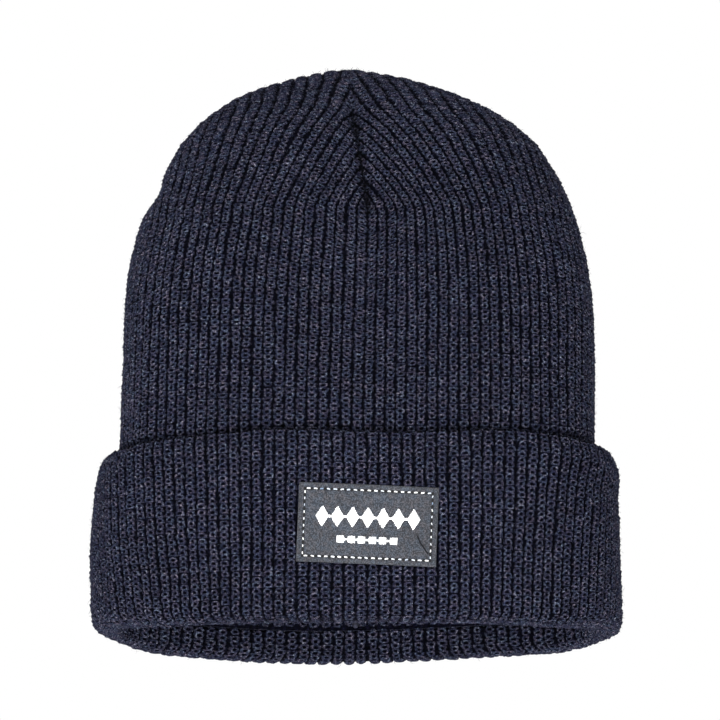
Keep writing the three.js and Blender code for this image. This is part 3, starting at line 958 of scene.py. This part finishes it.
def build_loose_fibre():
    """The fine dark fibre that lies over the label's lower right corner."""
    at = np.linspace(0, len(LOOSE_FIBRE) - 1, 40)
    place = np.array(LOOSE_FIBRE)
    u, v = (np.interp(at, np.arange(len(place)), place[:, k]) for k in (0, 1))
    path = on_label(u, v, LABEL_FRONT + 0.22 + 0.12 * np.sin(at * 2.4))
    strands = Strands(1, sides=6)
    strands.add(path, 0.3, (0, -1, 0), 0.3, tone=1.0)
    return strands.build("label_loose_fibre")


# ---------------------------------------------------------------- the care label

CARE = {"width": 28.0, "height": 42.0, "thick": 0.3, "top": 150.0, "y": 36.44, "tab": 3.0}
CARE_STITCH_LEVEL = 151.5
CARE_STITCHES = 9
CARE_STITCH_WIDTH = 24.0


def care_face(x, z):
    """The middle of the ribbon's thickness: it hangs from its sewn edge and curls a little forwards."""
    hung = clamp01((CARE["top"] - z) / CARE["height"])
    curl = 2.2 * hung**1.8 * (1 + 0.25 * np.sin(x / 6 + 0.8)) + 0.35 * hung * np.sin(z / 6.5 + x / 15)
    return CARE["y"] - curl - 0.5 * hung * (x / 14) ** 2


def build_care_label():
    """A blank satin ribbon, closed, with rounded edges."""
    top, foot = CARE["top"] + CARE["tab"], CARE["top"] - CARE["height"]
    half = CARE["width"] / 2
    x, z = np.meshgrid(np.linspace(-half, half, 57), np.linspace(foot, top, 91), indexing="ij")
    inside = np.minimum(half - np.abs(x), np.minimum(top - z, z - foot))
    swell = np.sqrt(np.maximum(1 - (1 - clamp01(inside / 0.25)) ** 2, 0)) * CARE["thick"] / 2
    edge = 0.06 * np.exp(-((half - 0.9 - np.abs(x)) / 0.5) ** 2)
    leaf = Patchwork()
    for sign, place in ((-1, 0.0), (1, 0.5)):
        points = np.stack([x, care_face(x, z) + sign * (swell + edge * (swell > 0)), z], -1)
        ids = leaf.add_points(points, depth=0.0, tone=0.5)
        across = place + 0.005 + 0.49 * (x + half) / (2 * half)
        up = 0.005 + 0.99 * (z - foot) / (top - foot)
        leaf.add_grid(ids, np.stack([across, up], -1), flip=sign > 0)
    return leaf.build("care_label_ribbon")


def build_care_stitches():
    draw = np.random.default_rng(31)
    strands = Strands(CARE_STITCHES, sides=8)
    share = np.linspace(-1, 1, 9)
    step = CARE_STITCH_WIDTH / CARE_STITCHES
    for k in range(CARE_STITCHES):
        x = (k + 0.5 - CARE_STITCHES / 2) * step + 0.33 * step * share
        z = CARE_STITCH_LEVEL + draw.normal(0, 0.08) + 0.06 * share
        path = np.stack([x, care_face(x, z) - 0.28 + 0.3 * share**2, z], -1)
        strands.add(path, 0.3, (0, -1, 0), 0.25, plies(2, 1.6, 0.16))
    return strands.build("care_label_stitches")


# ---------------------------------------------------------------- the seams inside

ROLL_GAP = 0.4
SLOPE_SHARE = 1.25
BACK_SEAM_FOOT = 12.8
BACK_SEAM_GAP = 6.0
CUFF_SEAM_SPAN = (14.0, 66.0)
TACK_RADIUS = 1.4
TACK_THREAD = 0.42
TACK_REACH = 1.9


def crown_level(x, y, inset):
    """Level of the crown above a place in plan, on a surface inset mm inside the outer face."""
    low, high = DEPTH_LEVEL, HEIGHT - inset
    for _ in range(30):
        z = (low + high) / 2
        width, depth, middle = section(z, inset)
        inside = abs(x) < width and abs(y - middle) < edge_depth(width, depth, x)
        low, high = (z, high) if inside else (low, z)
    return (low + high) / 2


def fuller(x, y, z):
    """A point under the CAD model's crown, moved out to lie as far under the fuller crown that is shown."""
    def outside(x, y, z):
        width, depth, middle = section(z)
        return abs(x / width) ** OVAL + abs((y - middle) / depth) ** OVAL
    level = min(z, HEIGHT - 9)
    step = 0.05
    slope = np.array([
        outside(x + step, y, level) - outside(x - step, y, level),
        outside(x, y + step, level) - outside(x, y - step, level),
        outside(x, y, level + step) - outside(x, y, level - step),
    ])
    slope = slope / np.linalg.norm(slope)
    return np.array([x + by_level(ASIDE, z), y, z]) + slope * by_level(FULLER, z)


def overlocked(at, turn):
    """The ridges of the thread that is looped over a seam's rolled edge, and the cloth's own bumps."""
    loops = 0.5 + 0.5 * np.cos(2 * math.pi * at / 2.28 + 1.0 * np.sin(turn))
    return 0.11 * loops**2 - 0.1 + 0.03 * np.sin(3 * turn + at / 1.9)


def build_roll(name, path, up):
    strands = Strands(1, sides=20)
    strands.add(path, SEAM_RADIUS, up, 0.38, overlocked)
    return strands.build(name)


def build_dart_seam(name, end):
    start = DART_START / math.hypot(end[0] - POLE[0], end[1] - POLE[1])
    path = []
    for share in np.linspace(start, 1, 40):
        x = POLE[0] + (end[0] - POLE[0]) * share
        y = POLE[1] + (end[1] - POLE[1]) * share
        path.append(fuller(x, y, crown_level(x, y, ROLL_INSET * SLOPE_SHARE)))
    return build_roll(name, path, (end[1] - POLE[1], POLE[0] - end[0], 0.001))


def build_back_seam():
    top = crown_level(*DART_ENDS["back"], ROLL_INSET * SLOPE_SHARE) - BACK_SEAM_GAP
    z = np.linspace(BACK_SEAM_FOOT, top, 80)
    _, depth, middle = section(z, ROLL_INSET)
    lift = rim_shift(0 * z, z, False)
    return build_roll("back_seam_roll", np.stack([0 * z, middle + depth - ROLL_GAP, z + lift], -1), (1, 0, 0))


def build_cuff_seam():
    z = np.linspace(*CUFF_SEAM_SPAN, 40)
    _, depth, middle = section(z)
    y = middle + depth + turn_up_out(z) - ROLL_INSET - ROLL_GAP
    lift = rim_shift(0 * z, z, False)
    return build_roll("cuff_seam_roll", np.stack([0 * z, y, z + lift], -1), (1, 0, 0))


def build_tack():
    """The knotted yarn under the pole: a trefoil knot, as in the CAD model."""
    turn = np.linspace(0, 4 * math.pi, 241)
    reach = TACK_RADIUS * (1 + 0.5 * np.cos(1.5 * turn))
    knot = np.stack([reach * np.cos(turn), reach * np.sin(turn), TACK_RADIUS / 2 * np.sin(1.5 * turn)], -1)
    core = np.stack([TACK_RADIUS * np.cos(turn), TACK_RADIUS * np.sin(turn), 0 * turn], -1)
    inset = CLOTH + 2 * GAP + TACK_REACH * TACK_RADIUS
    place = fuller(*POLE, crown_level(*POLE, inset))
    strands = Strands(1, sides=14)
    strands.add(knot + place, TACK_THREAD, knot - core, 0.16, plies(3, 1.9, 0.2), closed=True)
    return strands.build("crown_tack_yarn")


# ---------------------------------------------------------------- materials

def srgb(*channels):
    """A colour of 0 to 255 as Blender's linear one."""
    def linear(value):
        value /= 255
        return value / 12.92 if value <= 0.04045 else ((value + 0.055) / 1.055) ** 2.4
    return tuple(linear(c) for c in channels) + (1.0,)


def grey(value):
    return (value, value, value, 1.0)


class Number:
    """A number made by nodes: arithmetic on it adds math nodes to its material."""

    def __init__(self, material, socket):
        self.material, self.socket = material, socket

    def __add__(self, other):
        return self.material.math("ADD", self, other)

    def __sub__(self, other):
        return self.material.math("SUBTRACT", self, other)

    def __rsub__(self, other):
        return self.material.math("SUBTRACT", other, self)

    def __mul__(self, other):
        return self.material.math("MULTIPLY", self, other)

    def __truediv__(self, other):
        return self.material.math("DIVIDE", self, other)

    def __pow__(self, other):
        return self.material.math("POWER", self, other)

    def __abs__(self):
        return self.material.math("ABSOLUTE", self)


class Nodes:
    """A material being built: short ways to add its nodes."""

    def __init__(self, name):
        self.material = bpy.data.materials.new(name)
        self.material.use_nodes = True
        self.tree = self.material.node_tree
        self.shader = self.tree.nodes["Principled BSDF"]

    def put(self, value, socket):
        """Links what nodes make to a socket, or sets the socket to a plain value."""
        value = getattr(value, "socket", value)
        if isinstance(value, bpy.types.NodeSocket):
            self.tree.links.new(value, socket)
        else:
            socket.default_value = value

    def add(self, kind, settings=None, **inputs):
        node = self.tree.nodes.new("ShaderNode" + kind)
        for key, value in (settings or {}).items():
            setattr(node, key, value)
        for key, value in inputs.items():
            self.put(value, node.inputs[key])
        return node

    def coordinates(self):
        return self.add("TexCoord").outputs["Object"]

    def attribute(self, name):
        return Number(self, self.add("Attribute", {"attribute_name": name}).outputs["Fac"])

    def noise(self, scale, detail=2.0, rough=0.5):
        node = self.add("TexNoise", Scale=scale, Detail=detail, Roughness=rough, Vector=self.coordinates())
        return Number(self, node.outputs["Fac"])

    def ramp(self, value, *stops):
        node = self.add("ValToRGB", Fac=value)
        band = node.color_ramp
        while len(band.elements) < len(stops):
            band.elements.new(0.5)
        for element, (place, colour) in zip(band.elements, stops):
            element.position = place
            element.color = colour
        return node.outputs["Color"]

    def mix(self, factor, a, b, kind="MIX"):
        node = self.add("Mix", {"data_type": "RGBA", "blend_type": kind})
        for name, value in (("Factor", factor), ("A", a), ("B", b)):
            self.put(value, next(i for i in node.inputs if i.name == name and i.enabled))
        return next(o for o in node.outputs if o.enabled)

    def times(self, *colours):
        """Colours multiplied together."""
        product = colours[0]
        for colour in colours[1:]:
            product = self.mix(1.0, product, colour, "MULTIPLY")
        return product

    def math(self, kind, a, b=0.0):
        node = self.add("Math", {"operation": kind})
        for value, socket in zip((a, b), node.inputs):
            self.put(value, socket)
        return Number(self, node.outputs[0])

    def split(self, vector):
        node = self.add("SeparateXYZ", Vector=vector)
        return [Number(self, socket) for socket in node.outputs]

    def bump(self, height, distance, strength=1.0, **onto):
        return self.add("Bump", Strength=strength, Distance=distance, Height=height, **onto).outputs["Normal"]

    def set(self, **values):
        for name, value in values.items():
            self.put(value, self.shader.inputs[name.replace("_", " ")])
        return self.material


DEEPEST = 2.6  # value of the depth attribute in the darkest crease


def knit_material():
    """Wool-like yarn on the stitch's ring, with painted shade that makes it near dark in its hole and between
    the ribs.
    """
    m = Nodes("rib_knit_yarn")
    fleck = m.noise(900, 3, 0.65)
    fibre = m.noise(3200, 3, 0.65)
    place_x, place_y, _ = m.split(m.add("UVMap", {"uv_map": STITCH_LAYER}).outputs["UV"])
    across = place_x + (m.noise(1500, 2, 0.6) - 0.5) * 1.5
    share = (place_y + (fibre - 0.5) * 0.8) / Knit.RING[1]
    sideways = across / ((share * 0.16 + 1.0) * Knit.RING[0])
    ring = (abs(sideways) ** Knit.SQUARE + abs(share) ** Knit.SQUARE) ** (1 / Knit.SQUARE)
    thick = m.math("MINIMUM", abs(sideways), 1.0) * Knit.YARN[1] + (Knit.YARN[0] + 0.06)
    away = abs(ring - 1.0) * 0.92
    yarn_height = m.math("MAXIMUM", 1.0 - (away / thick) ** 2.0, 0.0)
    ply = m.math("SINE", m.math("ARCTAN2", share, sideways) * 9.0 + away * 7.0)

    yarn = m.ramp(fleck * 0.4 + fibre * 0.6, (0.4, srgb(4, 5, 13)), (0.49, srgb(25, 26, 40)),
                  (0.57, srgb(69, 71, 87)), (0.66, srgb(154, 155, 166)))
    hue = m.ramp(m.noise(420), (0.36, (0.86, 1.02, 1.06, 1)), (0.5, grey(1.0)), (0.64, (1.16, 0.98, 0.96, 1)))
    yarn = m.mix(m.attribute("tone") * 0.3, m.times(yarn, hue), srgb(36, 39, 64))
    plies_shade = m.ramp(ply, (0.0, grey(0.8)), (1.0, grey(1.0)))
    slow = m.ramp(m.noise(26), (0.3, grey(0.9)), (0.7, grey(1.06)))
    # Painted shade: near black off the yarn's ring, and darker down the yarn's round sides.
    lit = m.ramp(yarn_height, (0.0, (0.04, 0.04, 0.08, 1)), (0.35, grey(0.4)), (0.8, grey(1.0)))
    # Painted shade by the depth attribute: in the holes, between the ribs, at the lip and along the seams,
    # broken up by noise.
    broken = m.noise(620, 2, 0.6) * (2.2 / DEEPEST) - 0.05
    deep = m.ramp(m.attribute("depth") * broken, (0.1, grey(1.0)), (0.5, grey(0.5)), (0.67, grey(0.34)),
                  (1.0, grey(0.08)))
    normal = m.bump(ply, 0.00008, 0.4, Normal=m.bump(yarn_height, 0.0004, 0.7))
    return m.set(Base_Color=m.times(yarn, plies_shade, slow, lit, deep), Roughness=fibre * 0.2 + 0.78,
                 Normal=m.bump(fibre, 0.0003, 0.5, Normal=normal), Sheen_Weight=0.012, Sheen_Roughness=0.5,
                 Sheen_Tint=srgb(130, 135, 185), Specular_IOR_Level=0.02)


def seam_material():
    """The navy sewing yarn, with painted shade in the furrows between its turns. Tone 1 is a loose dark
    fibre.
    """
    m = Nodes("seam_yarn")
    fleck = m.noise(1300, 3, 0.6)
    yarn = m.ramp(fleck, (0.3, srgb(18, 19, 30)), (0.55, srgb(36, 37, 52)), (0.75, srgb(62, 63, 80)))
    shade = m.ramp(m.attribute("depth"), (0.0, grey(1.0)), (0.6, grey(0.55)), (1.0, grey(0.3)))
    loose = m.ramp(m.attribute("tone"), (0.9, grey(1.0)), (1.0, grey(0.1)))
    return m.set(Base_Color=m.times(yarn, shade, loose), Roughness=fleck * 0.2 + 0.7,
                 Normal=m.bump(fleck, 0.0003, 0.6), Specular_IOR_Level=0.2)


def woven_cells(m, cell, turn):
    """A plain weave over the object's x and z: each cell's random value, and the threads' height."""
    scale = (1 / (cell * MM), 0, 1 / (cell * MM))
    mapping = m.add("Mapping", Vector=m.coordinates(), Rotation=(0, turn, 0), Scale=scale)
    x, _, z = m.split(mapping.outputs["Vector"])
    floor_x, floor_z = m.math("FLOOR", x), m.math("FLOOR", z)
    join = m.add("CombineXYZ", X=floor_x, Y=floor_z)
    value = m.add("TexWhiteNoise", Vector=join.outputs["Vector"]).outputs["Value"]
    over = m.math("PINGPONG", floor_x + floor_z, 1.0)
    warp, weft = (m.math("SINE", m.math("FRACT", side) * math.pi) for side in (x, z))
    return Number(m, value), warp * over + weft * (1.0 - over)


def label_material():
    m = Nodes("woven_label")
    value, height = woven_cells(m, 0.36, math.radians(-LABEL["turn"]))
    value = value * 0.55 + m.noise(1600, 3, 0.6) * 0.5
    yarn = m.ramp(value, (0.2, srgb(17, 18, 22)), (0.48, srgb(37, 40, 47)), (0.85, srgb(76, 79, 86)))
    # Painted shade: on the weave's low threads, and in the needle holes and along the sewn line, where the
    # label is pressed in.
    shade = m.ramp(height, (0.0, grey(0.62)), (0.7, grey(1.0)))
    pits = m.ramp(m.attribute("depth"), (0.25, grey(1.0)), (0.5, grey(0.08)))
    hue = m.ramp(m.noise(500), (0.36, (0.9, 1.0, 1.08, 1)), (0.5, grey(1.0)), (0.64, (1.12, 1.0, 0.94, 1)))
    slow = m.ramp(m.noise(60), (0.3, grey(0.9)), (0.7, grey(1.06)))
    return m.set(Base_Color=m.times(yarn, shade, hue, pits, slow), Roughness=value * 0.15 + 0.72,
                 Normal=m.bump(height, 0.0001, 0.8), Sheen_Weight=0.05, Specular_IOR_Level=0.25)


def white_material():
    m = Nodes("white_thread")
    fibre = m.noise(2600, 2, 0.6)
    tone = m.ramp(m.attribute("tone"), (0.0, srgb(105, 122, 145)), (0.3, srgb(186, 192, 202)),
                  (0.6, srgb(222, 224, 226)), (0.9, srgb(230, 229, 226)))
    shade = m.ramp(fibre, (0.3, grey(0.84)), (0.6, grey(1.0)))
    return m.set(Base_Color=m.times(tone, shade), Roughness=fibre * 0.2 + 0.5,
                 Normal=m.bump(fibre, 0.00015, 0.5), Specular_IOR_Level=0.4)


def care_material():
    """Polyester satin: fine threads, with a soft shine."""
    m = Nodes("care_satin")
    value, height = woven_cells(m, 0.3, 0.0)
    crease = m.noise(90, 3, 0.5)
    cloth = m.ramp(value, (0.0, srgb(214, 212, 206)), (1.0, srgb(234, 233, 228)))
    slow = m.ramp(crease, (0.3, grey(0.93)), (0.7, grey(1.0)))
    return m.set(Base_Color=m.times(cloth, slow), Roughness=crease * 0.15 + 0.34,
                 Normal=m.bump(height, 0.00004, 0.6), Sheen_Weight=0.1, Specular_IOR_Level=0.45)


# ---------------------------------------------------------------- studio

CAMERA_ELEVATION = -9.7
FIELD = 288.0  # width of what the camera sees at the hat
LENS = 500.0
SENSOR = 36.0
AIM = Vector((1.8, 0.0, 113.4))
FLOOR_LEVEL = -640.0  # far below the hat, because the photo looks up at it
FLOOR_REACH = 60000.0
LIGHTS = {  # place, size of the square lamp, watts
    "key": ((-900, -1300, 900), 1000, 10),
    "fill": ((1200, -1200, 200), 1200, 7),
    "top": ((0, 300, 1500), 1000, 10),
    "low": ((-200, -1300, -560), 900, 66),
    "back": ((700, 1400, 500), 1400, 16),
}


def aimed(name, data, place):
    """A camera or a light that looks at the hat."""
    made = bpy.data.objects.new(name, data)
    made.location = place * MM
    made.rotation_mode = "QUATERNION"
    made.rotation_quaternion = (AIM - place).to_track_quat("-Z", "Y")
    bpy.context.scene.collection.objects.link(made)
    return made


def studio():
    scene = bpy.context.scene
    scene.view_settings.view_transform = "Standard"
    scene.world = bpy.data.worlds.new("studio")
    scene.world.use_nodes = True
    sky = scene.world.node_tree.nodes["Background"]
    sky.inputs["Color"].default_value = grey(1.0)
    sky.inputs["Strength"].default_value = 1.0
    tilt = math.radians(CAMERA_ELEVATION)
    back = Vector((0, -math.cos(tilt), math.sin(tilt)))
    lens = bpy.data.cameras.new("camera")
    lens.lens = LENS
    lens.sensor_width = SENSOR
    lens.clip_end = 100
    scene.camera = aimed("camera", lens, AIM + back * (FIELD * LENS / SENSOR))
    for name, (place, size, power) in LIGHTS.items():
        lamp = bpy.data.lights.new(name, "AREA")
        lamp.size = size * MM
        lamp.energy = power
        aimed(name, lamp, Vector(place))


def build_floor():
    mesh = bpy.data.meshes.new("floor")
    around = ((-1, -1), (1, -1), (1, 1), (-1, 1))
    corners = [Vector((x * FLOOR_REACH, y * FLOOR_REACH, FLOOR_LEVEL)) * MM for x, y in around]
    mesh.from_pydata(corners, [], [(0, 1, 2, 3)])
    m = Nodes("floor_paint")
    pale = m.ramp(m.noise(3), (0.3, grey(0.93)), (0.7, grey(0.95)))
    mesh.materials.append(m.set(Base_Color=pale, Roughness=0.9))
    floor = bpy.data.objects.new("floor", mesh)
    bpy.context.scene.collection.objects.link(floor)


studio()
build_floor()
knit, seam_yarn, woven = knit_material(), seam_material(), label_material()
white, satin = white_material(), care_material()


def finished(piece, material, node, body=None):
    """Gives a piece its material, hides the CAD node it replaces and, if a body is given, attaches the piece
    to it.
    """
    piece.data.materials.append(material)
    if node:
        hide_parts(node)
    if body:
        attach(piece, body)
    return piece


body = finished(build_body(), knit, "knit_body")
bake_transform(body)

turn_up = finished(build_turn_up(), knit, "cuff_turn_up", "cuff")

finished(build_fuzz("knit_body_fuzz", body, 9000, (84, 300), 61), knit, None, "crown")
finished(build_fuzz("turn_up_fuzz", turn_up, 5000, (-5, 74), 67), knit, None, "cuff")

label = finished(build_label(), woven, "label_patch", "cuff")
finished(build_stitches("label_stitches", LABEL_FRONT, 41, 1.0), white,
         "label_top_thread", "cuff")
finished(build_stitches("label_bobbin_stitches", -CLOTH - 0.5, 43, -1.0), white,
         "label_bobbin_thread", "cuff")
finished(build_motif("label_diamonds", DIAMONDS, 51), white, "label_motif_upper", "cuff")
finished(build_motif("label_blocks", BLOCKS, 53), white, "label_motif_lower", "cuff")
finished(build_loose_fibre(), seam_yarn, None, "cuff")

care = finished(build_care_label(), satin, "care_label")
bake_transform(care)
finished(build_care_stitches(), seam_yarn, "care_label_thread", "crown")

back_seam = finished(build_back_seam(), seam_yarn, "back_seam")
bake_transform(back_seam)
finished(build_cuff_seam(), seam_yarn, "cuff_seam", "cuff")
for side, end in DART_ENDS.items():
    finished(build_dart_seam(f"dart_seam_{side}_roll", end), seam_yarn,
             f"dart_seam_{side}", "crown")
finished(build_tack(), seam_yarn, "crown_tack", "crown")
